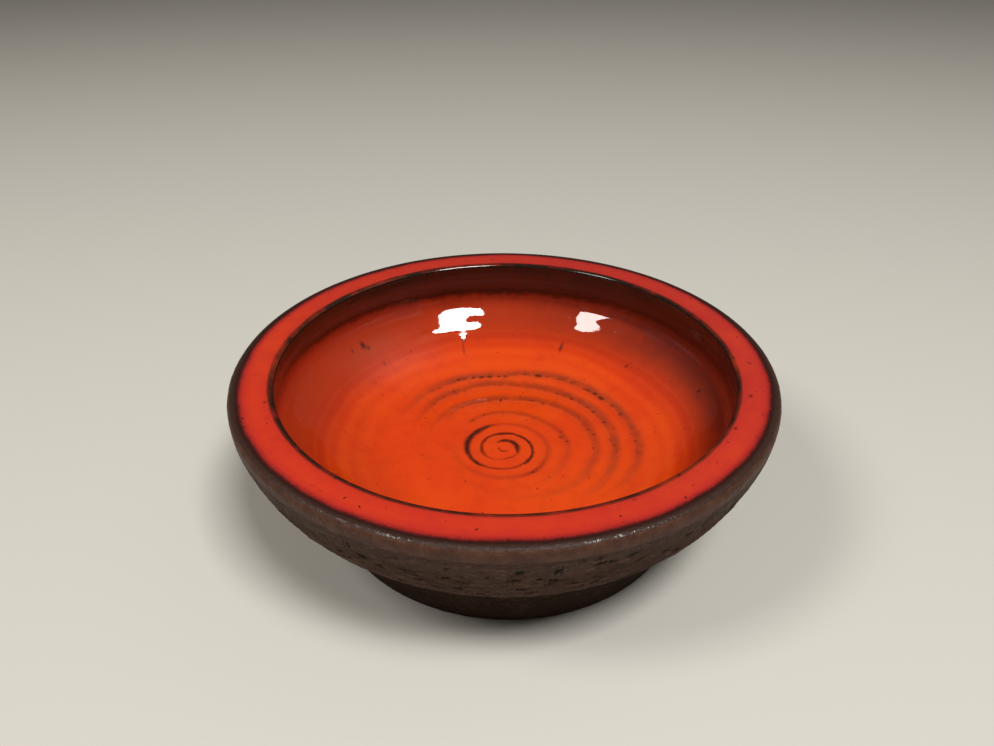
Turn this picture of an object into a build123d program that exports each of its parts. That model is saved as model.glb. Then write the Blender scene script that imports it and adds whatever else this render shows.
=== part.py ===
from build123d import *
import os
from math import sqrt

os.makedirs("parts", exist_ok=True)

# ---------------------------------------------------------------------------
# Thrown stoneware bowl: a heavy clay body with a trimmed foot ring, and the
# fired glaze coats that lie on it. Millimetres, +Z up, origin at the centre of
# the foot's resting plane. Every profile is drawn as (radius, height) on the
# XZ plane and turned about Z. The coats share their clay-side curves with the
# body, so that they meet it face to face.
# ---------------------------------------------------------------------------

# overall
height = 57.0                # table to the flat top of the rim
outer_radius = 90.0          # widest place, just under the rim

# rim: a flat top between two rounded arrises
rim_flat_inner = 77.4        # where the flat begins
outer_arris = 2.4            # rounding of the outer corner
inner_arris = 1.5            # rounding of the inner corner
rim_flat_outer = outer_radius - outer_arris

# outer wall, from the shoulder down to the turned lower edge (radius, below the rim)
shoulder_drop = 2.4
wall_points = [(89.80, 6.0), (88.53, 10.84), (86.20, 17.04), (82.80, 23.24)]
edge_radius, edge_drop = 79.23, 27.96
edge_round = 0.8

# underside and foot ring
foot_root_radius, foot_root_height = 64.6, 15.5
foot_root_round = 5.0        # hollow curve between the underside and the foot
foot_outer_radius = 62.8     # at the table
foot_width = 8.0             # resting band of the ring
foot_draft = 2.0             # the inner side of the ring leans by this much
recess_depth = 8.5           # turned hollow under the floor
recess_round = 3.0
foot_round = 1.2

# inside: steep lip, curved wall, flat floor (surface of the glaze)
mouth_radius = rim_flat_inner - inner_arris
lip_middle = (76.3, 7.0)
lip_foot = (77.1, 12.6)      # where the thin coat of the lip ends and the thick one begins
corner_points = [(77.2, 14.8), (76.75, 16.9), (75.75, 18.8)]
corner_end = (74.4, 20.5)    # where the round under the lip runs out into the wall
well_points = [(69.1, 25.45), (63.4, 30.0), (57.1, 33.6), (50.3, 36.2), (43.25, 37.85)]
floor_radius, floor_drop = 36.0, 38.45

# thickness of the coats
rim_coat = 0.6
lip_coat = 0.45
well_coat = 0.9
shoulder_coat = 0.5
shoulder_coat_drop = 4.6     # how far the thin coat runs down the outside

# ---------------------------------------------------------------------------
# Shared points and curves
# ---------------------------------------------------------------------------


def at(radius, drop):
    """A profile point given by its radius and its depth below the rim."""
    return (radius, height - drop)


def shifted(curve, u, distance):
    """The point at parameter u of a profile curve, moved to its right side."""
    p, t = curve @ u, curve % u
    return (p.X + t.Y * distance, p.Y - t.X * distance)


# glaze surface of the lip, leaning slightly outward on the way down
lip_skin_points = [at(mouth_radius, inner_arris), at(*lip_middle), at(*lip_foot)]
lip_top_tangent, lip_foot_tangent = (0, -1), (0.10, -1)
# glaze surface of the well: a tight round under the lip, then the wall down to the flat floor
corner_skin_points = [at(*lip_foot)] + [at(*p) for p in corner_points] + [at(*corner_end)]
well_skin_points = [at(*corner_end)] + [at(*p) for p in well_points] + [at(floor_radius, floor_drop)]
corner_top_tangent, corner_end_tangent, well_floor_tangent = (0.10, -1), (-0.684, -0.729), (-1, 0)

lip_skin = Spline(*lip_skin_points, tangents=(lip_top_tangent, lip_foot_tangent))
corner_skin = Spline(*corner_skin_points, tangents=(corner_top_tangent, corner_end_tangent))
well_skin = Spline(*well_skin_points, tangents=(corner_end_tangent, well_floor_tangent))

# clay surface behind them: the coat thickens from the lip to the floor
junction_clay = (lip_foot[0] + lip_coat + 0.05, height - lip_foot[1] - 0.12)
lip_clay_points = [
    at(mouth_radius + lip_coat, inner_arris),
    at(lip_middle[0] + lip_coat, lip_middle[1]),
    junction_clay,
]
corner_coat = (lip_coat + well_coat) / 2
corner_clay_points = [junction_clay]
for u in (0.25, 0.5, 0.75, 1.0):
    thickness = lip_coat + (corner_coat - lip_coat) * u
    corner_clay_points.append(shifted(corner_skin, u, -thickness))
well_clay_points = [corner_clay_points[-1]]
for u in (1 / 6, 2 / 6, 3 / 6, 4 / 6, 5 / 6):
    thickness = corner_coat + (well_coat - corner_coat) * min(1.0, u * 3)
    well_clay_points.append(shifted(well_skin, u, -thickness))
well_clay_points.append((floor_radius, height - floor_drop - well_coat))

# ends of the rim coat: a level cut through both arrises
rim_cut = height - rim_coat
rim_cut_outer = rim_flat_outer + sqrt(outer_arris**2 - (outer_arris - rim_coat) ** 2)
rim_cut_inner = rim_flat_inner - sqrt(inner_arris**2 - (inner_arris - rim_coat) ** 2)
lip_cut_clay = rim_cut_inner + lip_coat + 0.1
shoulder_cut_clay = rim_cut_outer - shoulder_coat - 0.1

# outer wall: one smooth curve, split where the thin shoulder coat ends
wall_skin_points = [at(outer_radius, shoulder_drop)] + [at(*p) for p in wall_points] + [at(edge_radius, edge_drop)]
wall_foot_tangent = (-0.85, -1)
wall_skin = Spline(*wall_skin_points, tangents=((0, -1), wall_foot_tangent))


def wall_radius(drop):
    """Radius of the outer wall at a depth below the rim."""
    low, high = 0.0, 1.0
    for _ in range(60):
        mid = (low + high) / 2
        if height - (wall_skin @ mid).Y < drop:
            low = mid
        else:
            high = mid
    return (wall_skin @ low).X


shoulder_end = at(wall_radius(shoulder_coat_drop), shoulder_coat_drop)
# slope of the wall where the shoulder coat ends
shoulder_end_tangent = (wall_radius(shoulder_coat_drop + 0.1) - wall_radius(shoulder_coat_drop - 0.1), -0.2)
shoulder_skin_points = [
    at(outer_radius, shoulder_drop),
    at(wall_radius(3.5), 3.5),
    shoulder_end,
]
shoulder_clay_points = [
    (shoulder_cut_clay, rim_cut),
    (outer_radius - shoulder_coat - 0.05, height - shoulder_drop),
    (wall_radius(3.4) - shoulder_coat, height - 3.4),
    (shoulder_end[0] - shoulder_coat * 0.8, shoulder_end[1] + 0.25),
]
lower_wall_points = [shoulder_end] + [at(wall_radius(d), d) for d in (9.0, 14.0, 19.0, 24.0)] + [at(edge_radius, edge_drop)]

# ---------------------------------------------------------------------------
# Clay body with its foot ring
# ---------------------------------------------------------------------------
with BuildPart() as stoneware_body:
    with BuildSketch(Plane.XZ) as clay_section:
        with BuildLine() as clay_outline:
            # under the floor, down the inside of the ring, across its resting
            # face, up its outside and out to the turned lower edge
            Polyline(
                (0, recess_depth),
                (foot_outer_radius - foot_width - foot_draft, recess_depth),
                (foot_outer_radius - foot_width, 0),
                (foot_outer_radius, 0),
                (foot_root_radius, foot_root_height),
                at(edge_radius, edge_drop),
            )
            # outer wall up to the end of the shoulder coat
            Spline(
                *lower_wall_points[::-1],
                tangents=(
                    (-wall_foot_tangent[0], -wall_foot_tangent[1]),
                    (-shoulder_end_tangent[0], -shoulder_end_tangent[1]),
                ),
            )
            # behind the shoulder coat
            Line(shoulder_end, shoulder_clay_points[3])
            Spline(*shoulder_clay_points[::-1])
            # behind the rim coat
            Line((shoulder_cut_clay, rim_cut), (lip_cut_clay, rim_cut))
            # behind the lip coat
            Line((lip_cut_clay, rim_cut), lip_clay_points[0])
            Spline(*lip_clay_points)
            # behind the well coat
            Spline(*corner_clay_points, tangents=(corner_top_tangent, corner_end_tangent))
            Spline(*well_clay_points, tangents=(corner_end_tangent, well_floor_tangent))
            Polyline(
                (floor_radius, height - floor_drop - well_coat),
                (0, height - floor_drop - well_coat),
                (0, recess_depth),
            )
        make_face()
    revolve(axis=Axis.Z)
    # ease the resting edges of the ring and the turned lower edge
    ring_edges = (
        stoneware_body.edges()
        .filter_by(GeomType.CIRCLE)
        .filter_by(lambda e: abs(e.center().Z) < 1e-6)
    )
    fillet(ring_edges, radius=foot_round)
    lower_edge = (
        stoneware_body.edges()
        .filter_by(GeomType.CIRCLE)
        .filter_by(lambda e: abs(e.center().Z - (height - edge_drop)) < 1e-4)
    )
    fillet(lower_edge, radius=edge_round)
    # hollow curves: foot into underside, and ring into the turned hollow
    foot_root = (
        stoneware_body.edges()
        .filter_by(GeomType.CIRCLE)
        .filter_by(lambda e: abs(e.center().Z - foot_root_height) < 1e-4 and e.radius > foot_outer_radius)
    )
    fillet(foot_root, radius=foot_root_round)
    recess_corner = (
        stoneware_body.edges()
        .filter_by(GeomType.CIRCLE)
        .filter_by(lambda e: abs(e.center().Z - recess_depth) < 1e-4)
    )
    fillet(recess_corner, radius=recess_round)
stoneware_body.part.label = "stoneware_body"

# ---------------------------------------------------------------------------
# Thick coat on the flat of the rim
# ---------------------------------------------------------------------------
with BuildPart() as rim_glaze:
    with BuildSketch(Plane.XZ):
        with BuildLine():
            RadiusArc((rim_cut_inner, rim_cut), (rim_flat_inner, height), inner_arris)
            Line((rim_flat_inner, height), (rim_flat_outer, height))
            RadiusArc((rim_flat_outer, height), (rim_cut_outer, rim_cut), outer_arris)
            Line((rim_cut_outer, rim_cut), (shoulder_cut_clay, rim_cut))
            Line((shoulder_cut_clay, rim_cut), (lip_cut_clay, rim_cut))
            Line((lip_cut_clay, rim_cut), (rim_cut_inner, rim_cut))
        make_face()
    revolve(axis=Axis.Z)
rim_glaze.part.label = "rim_glaze"

# ---------------------------------------------------------------------------
# Thin coat down the steep inside of the rim
# ---------------------------------------------------------------------------
with BuildPart() as lip_glaze:
    with BuildSketch(Plane.XZ):
        with BuildLine():
            RadiusArc(lip_skin_points[0], (rim_cut_inner, rim_cut), inner_arris)
            Line((rim_cut_inner, rim_cut), (lip_cut_clay, rim_cut))
            Line((lip_cut_clay, rim_cut), lip_clay_points[0])
            Spline(*lip_clay_points)
            Line(junction_clay, lip_skin_points[-1])
            Spline(*lip_skin_points, tangents=(lip_top_tangent, lip_foot_tangent))
        make_face()
    revolve(axis=Axis.Z)
lip_glaze.part.label = "lip_glaze"

# ---------------------------------------------------------------------------
# Thick coat over the curved wall and the flat floor of the well
# ---------------------------------------------------------------------------
with BuildPart() as well_glaze:
    with BuildSketch(Plane.XZ):
        with BuildLine():
            Line(lip_skin_points[-1], junction_clay)
            Spline(*corner_clay_points, tangents=(corner_top_tangent, corner_end_tangent))
            Spline(*well_clay_points, tangents=(corner_end_tangent, well_floor_tangent))
            Polyline(
                (floor_radius, height - floor_drop - well_coat),
                (0, height - floor_drop - well_coat),
                (0, height - floor_drop),
                (floor_radius, height - floor_drop),
            )
            Spline(*well_skin_points, tangents=(corner_end_tangent, well_floor_tangent))
            Spline(*corner_skin_points, tangents=(corner_top_tangent, corner_end_tangent))
        make_face()
    revolve(axis=Axis.Z)
well_glaze.part.label = "well_glaze"

# ---------------------------------------------------------------------------
# Thin run-over of the glaze on the outside of the rim
# ---------------------------------------------------------------------------
with BuildPart() as shoulder_glaze:
    with BuildSketch(Plane.XZ):
        with BuildLine():
            RadiusArc((rim_cut_outer, rim_cut), shoulder_skin_points[0], outer_arris)
            Spline(*shoulder_skin_points, tangents=((0, -1), shoulder_end_tangent))
            Line(shoulder_end, shoulder_clay_points[3])
            Spline(*shoulder_clay_points[::-1])
            Line((shoulder_cut_clay, rim_cut), (rim_cut_outer, rim_cut))
        make_face()
    revolve(axis=Axis.Z)
shoulder_glaze.part.label = "shoulder_glaze"

export_step(stoneware_body.part, "parts/stoneware_body.step")
export_step(rim_glaze.part, "parts/rim_glaze.step")
export_step(lip_glaze.part, "parts/lip_glaze.step")
export_step(well_glaze.part, "parts/well_glaze.step")
export_step(shoulder_glaze.part, "parts/shoulder_glaze.step")

for piece in (stoneware_body, rim_glaze, lip_glaze, well_glaze, shoulder_glaze):
    box = piece.part.bounding_box()
    print(
        f"{piece.part.label}: {len(piece.part.solids())} solid, {piece.part.volume / 1000:.1f} cm3,"
        f" r {box.max.X:.2f}, z {box.min.Z:.2f} to {box.max.Z:.2f}"
    )
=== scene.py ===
import math

import bpy
import numpy as np
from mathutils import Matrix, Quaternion, Vector


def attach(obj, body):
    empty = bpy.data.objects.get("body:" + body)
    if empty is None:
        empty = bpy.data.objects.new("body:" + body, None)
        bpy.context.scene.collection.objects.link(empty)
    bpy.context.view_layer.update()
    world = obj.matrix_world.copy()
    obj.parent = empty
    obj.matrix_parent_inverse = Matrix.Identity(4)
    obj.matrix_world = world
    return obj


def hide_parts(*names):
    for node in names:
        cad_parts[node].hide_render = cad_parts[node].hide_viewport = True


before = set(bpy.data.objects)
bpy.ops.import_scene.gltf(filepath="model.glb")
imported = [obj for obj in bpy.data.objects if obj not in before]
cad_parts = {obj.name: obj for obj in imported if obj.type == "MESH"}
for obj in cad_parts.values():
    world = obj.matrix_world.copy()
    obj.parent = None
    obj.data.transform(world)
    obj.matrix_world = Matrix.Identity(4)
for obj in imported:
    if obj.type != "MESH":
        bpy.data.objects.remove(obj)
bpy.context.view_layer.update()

scene = bpy.context.scene
MM = 0.001

# ---------------------------------------------------------------------------
# The profile, in millimetres: (radius, height), written as (radius, drop
# below the rim's top). The rim's top is at H.
# ---------------------------------------------------------------------------
H = 57.0


def resample(line, count, even=None):
    """count + 1 points along a polyline, evenly spaced or at the given shares of its length."""
    line = np.array(line, float)
    s = np.r_[0, np.cumsum(np.hypot(*np.diff(line, axis=0).T))]
    u = (np.linspace(0, 1, count + 1) if even is None else np.asarray(even)) * s[-1]
    return np.c_[np.interp(u, s, line[:, 0]), np.interp(u, s, line[:, 1])]


def spline(points, start, end):
    """A smooth curve through points with given end directions, as a fine polyline."""
    p = np.array(points, float)
    n = len(p)
    chord = np.r_[0, np.cumsum(np.hypot(*np.diff(p, axis=0).T))]
    h = np.diff(chord)
    start = np.array(start, float) / np.hypot(*start)
    end = np.array(end, float) / np.hypot(*end)
    a = np.zeros((n, n))
    b = np.zeros((n, 2))
    a[0, 0] = a[-1, -1] = 1
    b[0], b[-1] = start, end
    for i in range(1, n - 1):
        a[i, i - 1], a[i, i], a[i, i + 1] = h[i], 2 * (h[i - 1] + h[i]), h[i - 1]
        b[i] = 3 * (h[i] * (p[i] - p[i - 1]) / h[i - 1] + h[i - 1] * (p[i + 1] - p[i]) / h[i])
    m = np.linalg.solve(a, b)
    out = []
    for i in range(n - 1):
        t = np.linspace(0, 1, 60, endpoint=False)[:, None]
        out.append(
            (2 * t**3 - 3 * t**2 + 1) * p[i]
            + (t**3 - 2 * t**2 + t) * h[i] * m[i]
            + (-2 * t**3 + 3 * t**2) * p[i + 1]
            + (t**3 - t**2) * h[i] * m[i + 1]
        )
    return np.vstack(out + [p[-1:]])


def arc(centre, radius, from_deg, to_deg, count):
    t = np.radians(np.linspace(from_deg, to_deg, count + 1))
    return np.c_[centre[0] + radius * np.cos(t), centre[1] + radius * np.sin(t)]


def down(points):
    return [(r, H - d) for r, d in points]


def stack(*parts):
    """Joins profile parts, dropping the repeated point between them."""
    out = list(parts[0])
    for p in parts[1:]:
        out += list(p)[1:]
    return np.array(out)


R_MAX = 90.0
ARRIS_OUT, ARRIS_IN = 2.4, 1.5
FLAT_IN, FLAT_OUT = 77.4, 87.6
MOUTH = FLAT_IN - ARRIS_IN
LIP_FOOT = (77.1, 12.6)
FLOOR_R, FLOOR_Z = 36.0, H - 38.45
RIM_COAT, LIP_COAT, WELL_COAT, SHOULDER_COAT = 0.6, 0.45, 0.9, 0.5
SHOULDER_DROP = 4.6

lip_curve = spline(down([(MOUTH, ARRIS_IN), (76.3, 7.0), LIP_FOOT]), (0, -1), (0.10, -1))
well_curve = stack(
    spline(down([LIP_FOOT, (77.2, 14.8), (76.75, 16.9), (75.75, 18.8), (74.4, 20.5)]), (0.10, -1), (-0.684, -0.729)),
    spline(
        down([(74.4, 20.5), (69.1, 25.45), (63.4, 30.0), (57.1, 33.6), (50.3, 36.2), (43.25, 37.85), (FLOOR_R, 38.45)]),
        (-0.684, -0.729),
        (-1, 0),
    ),
)
wall_curve = spline(
    down([(R_MAX, ARRIS_OUT), (89.80, 6.0), (88.53, 10.84), (86.20, 17.04), (82.80, 23.24), (79.23, 27.96)]),
    (0, -1),
    (-0.85, -1),
)


def wall_at(depth):
    return float(np.interp(depth, H - wall_curve[:, 1], wall_curve[:, 0]))


# where the level cut through both arrises lies
CUT_Z = H - RIM_COAT
CUT_IN = FLAT_IN - math.sqrt(ARRIS_IN**2 - (ARRIS_IN - RIM_COAT) ** 2)
CUT_OUT = FLAT_OUT + math.sqrt(ARRIS_OUT**2 - (ARRIS_OUT - RIM_COAT) ** 2)
IN_ANGLE = math.degrees(math.acos((CUT_IN - FLAT_IN) / ARRIS_IN))
OUT_ANGLE = math.degrees(math.acos((CUT_OUT - FLAT_OUT) / ARRIS_OUT))


# ---------------------------------------------------------------------------
# Smooth random fields, the same on every run
# ---------------------------------------------------------------------------
def field(points, wavelength, seed, waves=24, spread=0.35):
    """A smooth random field over points (n, 3) in mm, with about unit spread."""
    g = np.random.default_rng(seed)
    d = g.normal(size=(waves, 3))
    d /= np.linalg.norm(d, axis=1)[:, None]
    k = 2 * math.pi / wavelength * (1 + spread * g.uniform(-1, 1, waves))
    phase = g.uniform(0, 2 * math.pi, waves)
    return np.cos(points @ (d * k[:, None]).T + phase).sum(1) * math.sqrt(2.0 / waves)


def smooth(x, low, high):
    t = np.clip((np.asarray(x, float) - low) / (high - low), 0, 1)
    return t * t * (3 - 2 * t)


def around(a, table):
    """A value given at some angles (degrees), smoothly joined all the way round."""
    deg = np.degrees(a) % 360
    t = sorted((d % 360, v) for d, v in table)
    x = np.array([t[-1][0] - 360] + [d for d, _ in t] + [t[0][0] + 360])
    y = np.array([t[-1][1]] + [v for _, v in t] + [t[0][1]])
    i = np.clip(np.searchsorted(x, deg) - 1, 0, len(x) - 2)
    u = (deg - x[i]) / (x[i + 1] - x[i])
    return y[i] + (y[i + 1] - y[i]) * u * u * (3 - 2 * u)


def warp(p):
    """The bowl's hand-made unevenness, in mm: slightly oval, a rim that rises and falls a little, and a foot turned a little off the centre."""
    x, y, z = p.T
    r = np.hypot(x, y)
    a = np.arctan2(y, x)
    up = smooth(z, 4, 40)
    oval = 1 + up * (0.0016 * np.cos(2 * a - 0.7) + 0.0008 * np.cos(3 * a + 1.1))
    lift = up * (0.10 * np.cos(2 * a + 0.4) - 0.10) * smooth(r, 40, 88)
    outer = smooth(r, 79, 88)
    foot = (1 - smooth(z, 9, 26)) * smooth(r, 20, 56)
    return np.c_[x * oval - 0.40 * outer * up + 0.8 * foot, y * oval, z + lift]


# ---------------------------------------------------------------------------
# Lathe meshes: rings of points joined in order
# ---------------------------------------------------------------------------
N = 640


def ring_count(r):
    return 1 if r < 1e-6 else N // 8 if r < 1.3 else N // 4 if r < 3.2 else N // 2 if r < 10.4 else N


def lathe(name, rings, loop=False, sharp=()):
    """A closed mesh from rings. A ring is (n, 3) points, n equal to its neighbour's, twice or half it, or 1. loop joins the last ring to the first. The rings listed in sharp keep a crease."""
    start = np.r_[0, np.cumsum([len(r) for r in rings])]
    quads, tris = [], []
    pairs = [(i, i + 1) for i in range(len(rings) - 1)]
    if loop:
        pairs.append((len(rings) - 1, 0))
    for i, j in pairs:
        n, m, a, b = len(rings[i]), len(rings[j]), start[i], start[j]
        if n == m:
            k = np.arange(n)
            k2 = (k + 1) % n
            quads.append(np.c_[a + k, a + k2, b + k2, b + k])
        elif n == 1:
            k = np.arange(m)
            tris.append(np.c_[np.full(m, a), b + (k + 1) % m, b + k])
        elif m == 1:
            k = np.arange(n)
            tris.append(np.c_[a + k, a + (k + 1) % n, np.full(n, b)])
        elif m == 2 * n:
            k = np.arange(n)
            k2 = (k + 1) % n
            f0, f1, f2 = b + 2 * k, b + 2 * k + 1, b + (2 * k + 2) % m
            tris += [np.c_[a + k, f1, f0], np.c_[a + k, a + k2, f1], np.c_[a + k2, f2, f1]]
        elif n == 2 * m:
            k = np.arange(m)
            k2 = (k + 1) % m
            f0, f1, f2 = a + 2 * k, a + 2 * k + 1, a + (2 * k + 2) % n
            tris += [np.c_[b + k, f0, f1], np.c_[b + k, f1, b + k2], np.c_[b + k2, f1, f2]]
        else:
            raise ValueError((name, n, m))
    verts = np.vstack(rings)
    faces = [q for block in quads for q in block.tolist()] + [t for block in tris for t in block.tolist()]
    # outward normals: the signed volume has to be positive
    fan = np.array([(f[0], f[1], f[2]) for f in faces] + [(f[0], f[2], f[3]) for f in faces if len(f) == 4])
    p = verts[fan]
    if np.einsum("ij,ij->i", p[:, 0], np.cross(p[:, 1], p[:, 2])).sum() < 0:
        faces = [f[::-1] for f in faces]
    mesh = bpy.data.meshes.new(name)
    mesh.from_pydata((verts * MM).tolist(), [], faces)
    mesh.update()
    mesh.shade_smooth()
    if sharp:
        owner = np.repeat(np.arange(len(rings)), [len(r) for r in rings])
        ends = np.empty(len(mesh.edges) * 2, np.int32)
        mesh.edges.foreach_get("vertices", ends)
        a, b = owner[ends[0::2]], owner[ends[1::2]]
        crease = mesh.attributes.new("sharp_edge", "BOOLEAN", "EDGE")
        crease.data.foreach_set("value", (a == b) & np.isin(a, list(sharp)))
    obj = bpy.data.objects.new(name, mesh)
    scene.collection.objects.link(obj)
    print(name, "triangles", len(fan))
    return obj


def attribute(obj, name, values):
    a = obj.data.attributes.new(name, "FLOAT", "POINT")
    a.data.foreach_set("value", np.asarray(values, np.float32))


def turn(profile, counts, height=None):
    """Rings from profile points. height gives the move along the profile's normal at (angles, radius, height)."""
    profile = np.asarray(profile, float)
    tangent = np.gradient(profile, axis=0)
    tangent /= np.maximum(np.hypot(*tangent.T), 1e-9)[:, None]
    rings = []
    for (r, z), (tr, tz), n in zip(profile, tangent, counts):
        if n == 1:
            rings.append(np.array([[0.0, 0.0, z]]))
            continue
        a = np.arange(n) * 2 * math.pi / n
        h = height(a, r, z) if height is not None else np.zeros(n)
        rr, zz = r - tz * h, z + tr * h
        rings.append(np.c_[rr * np.cos(a), rr * np.sin(a), zz])
    return rings


def tight_ends(line, first=True, last=True, gap=0.04):
    """Adds a point just inside each end of a profile, so that the shading there follows the surface up to the seam."""
    line = [np.array(p, float) for p in line]
    if last:
        d = line[-2] - line[-1]
        line.insert(-1, line[-1] + d / np.hypot(*d) * gap)
    if first:
        d = line[1] - line[0]
        line.insert(1, line[0] + d / np.hypot(*d) * gap)
    return np.array(line)


# ---------------------------------------------------------------------------
# Throwing marks on the floor of the well. Crests are given by the angle that
# has been turned, clockwise from above and outward, and the radius in mm.
# ---------------------------------------------------------------------------
CENTRE = np.array([
    # turned, radius, height, width, dark
    (40, 1.7, 0.0, 0.5, 0.0), (60, 1.85, 0.05, 0.5, 0.55), (120, 1.9, 0.06, 0.5, 0.7), (180, 2.0, 0.05, 0.5, 0.45), (205, 2.1, 0.0, 0.5, 0.0),
], float)
SPIRAL = np.array([
    (-145, 4.1, 0.00, 0.50, 0.0), (-127, 4.2, 0.08, 0.60, 0.45), (-105, 4.4, 0.12, 0.75, 0.95), (-90, 4.5, 0.14, 0.90, 1.0), (-45, 4.6, 0.16, 1.05, 1.0),
    (0, 4.7, 0.16, 1.10, 1.0), (22, 5.1, 0.14, 0.80, 0.9), (40, 5.6, 0.12, 0.55, 0.35), (80, 5.95, 0.12, 0.55, 0.6),
    (110, 7.0, 0.12, 0.5, 0.15), (140, 7.9, 0.12, 0.55, 0.45), (165, 8.2, 0.14, 0.62, 0.8), (180, 8.34, 0.14, 0.62, 0.85), (215, 8.75, 0.14, 0.6, 0.85),
    (243, 8.97, 0.15, 0.60, 0.9), (263, 8.7, 0.16, 0.75, 1.0), (290, 9.2, 0.15, 0.60, 0.95), (315, 9.25, 0.15, 0.60, 0.95),
    (340, 9.7, 0.15, 0.62, 0.98), (360, 10.1, 0.15, 0.62, 0.92), (380, 10.7, 0.15, 0.62, 0.95), (405, 11.15, 0.16, 0.78, 1.0),
    (420, 11.3, 0.14, 0.60, 0.65), (450, 11.7, 0.14, 0.60, 0.5), (485, 12.5, 0.15, 0.65, 0.7), (498, 12.95, 0.16, 0.80, 1.0),
    (520, 13.3, 0.17, 0.85, 0.9), (540, 13.65, 0.20, 1.15, 1.0), (563, 14.1, 0.22, 1.30, 1.0), (585, 14.25, 0.22, 1.25, 1.0),
    (603, 14.7, 0.20, 0.95, 1.0), (612, 14.7, 0.18, 0.70, 0.5), (625, 14.5, 0.18, 0.80, 0.15), (675, 14.9, 0.20, 0.95, 0.14),
    (720, 15.85, 0.22, 1.0, 0.2), (750, 16.15, 0.22, 0.95, 0.25), (775, 16.9, 0.24, 0.80, 0.6), (795, 16.7, 0.22, 0.95, 0.15),
    (850, 17.3, 0.18, 1.05, 0.08), (900, 18.6, 0.14, 1.1, 0.0), (930, 19.6, 0.0, 1.1, 0.0),
], float)
# broader crests further out, stronger to the right and at the back
RINGS = [np.array(t, float) for t in (
    [(-150, 19.6, 0.0, 1.0, 0.0), (-132, 20.4, 0.22, 0.95, 0.25), (-110, 21.7, 0.32, 1.0, 0.5), (-90, 21.6, 0.34, 1.0, 0.45),
     (-45, 21.7, 0.34, 1.0, 0.45), (-20, 22.4, 0.34, 0.95, 0.40), (0, 22.4, 0.32, 0.95, 0.3), (40, 21.8, 0.28, 1.0, 0.15),
     (60, 22.6, 0.26, 1.0, 0.08), (90, 24.0, 0.22, 1.0, 0.05), (110, 23.8, 0.20, 1.0, 0.0), (148, 22.6, 0.18, 1.0, 0.0), (170, 24.6, 0.0, 1.0, 0.0)],
    [(-190, 27.4, 0.0, 1.2, 0.0), (-150, 29.8, 0.26, 1.35, 0.2), (-120, 31.0, 0.42, 1.45, 0.45), (-92, 31.2, 0.46, 1.5, 0.50),
     (-60, 32.6, 0.46, 1.5, 0.48), (-30, 33.4, 0.44, 1.45, 0.44), (0, 32.3, 0.42, 1.3, 0.34), (20, 30.9, 0.38, 1.15, 0.2),
     (45, 30.0, 0.34, 1.05, 0.12), (70, 27.6, 0.28, 0.95, 0.08), (105, 24.9, 0.20, 0.9, 0.0), (130, 25.0, 0.0, 0.9, 0.0)],
    [(-168, 35.2, 0.0, 1.3, 0.0), (-148, 37.4, 0.28, 1.4, 0.2), (-130, 40.0, 0.44, 1.45, 0.4), (-105, 41.5, 0.50, 1.5, 0.5),
     (-75, 40.6, 0.52, 1.55, 0.55), (-45, 41.2, 0.52, 1.5, 0.65), (-20, 40.4, 0.50, 1.4, 0.55), (5, 39.2, 0.44, 1.25, 0.40),
     (30, 37.6, 0.36, 1.1, 0.2), (50, 36.0, 0.22, 1.0, 0.05), (70, 34.0, 0.0, 0.9, 0.0)],
    [(-176, 41.9, 0.0, 1.1, 0.0), (-156, 43.5, 0.20, 1.15, 0.15), (-136, 45.1, 0.34, 1.2, 0.35), (-113, 47.3, 0.44, 1.25, 0.6),
     (-90, 46.5, 0.46, 1.25, 0.6), (-80, 47.8, 0.46, 1.25, 0.6), (-71, 48.6, 0.46, 1.25, 0.6), (-43, 48.6, 0.44, 1.2, 0.6), (-23, 48.2, 0.44, 1.2, 0.6),
     (-3, 47.7, 0.42, 1.15, 0.55), (14, 46.7, 0.36, 1.05, 0.45), (31, 44.1, 0.28, 1.0, 0.2), (50, 41.0, 0.0, 0.9, 0.0)],
    [(-215, 27.0, 0.0, 0.9, 0.0), (-195, 30.2, 0.14, 0.9, 0.0), (-180, 33.6, 0.16, 0.9, 0.0), (-160, 38.0, 0.0, 0.9, 0.0)],
    [(150, 26.0, 0.0, 1.0, 0.0), (175, 29.4, 0.18, 1.0, 0.0), (205, 32.2, 0.16, 1.0, 0.0), (235, 36.8, 0.12, 1.0, 0.0), (255, 39.8, 0.0, 1.0, 0.0)],
    [(-140, 50.5, 0.0, 1.6, 0.0), (-115, 52.6, 0.12, 1.7, 0.0), (-70, 53.6, 0.16, 1.8, 0.05), (-30, 53.6, 0.14, 1.7, 0.0), (20, 52.4, 0.0, 1.6, 0.0)],
)]
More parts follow.
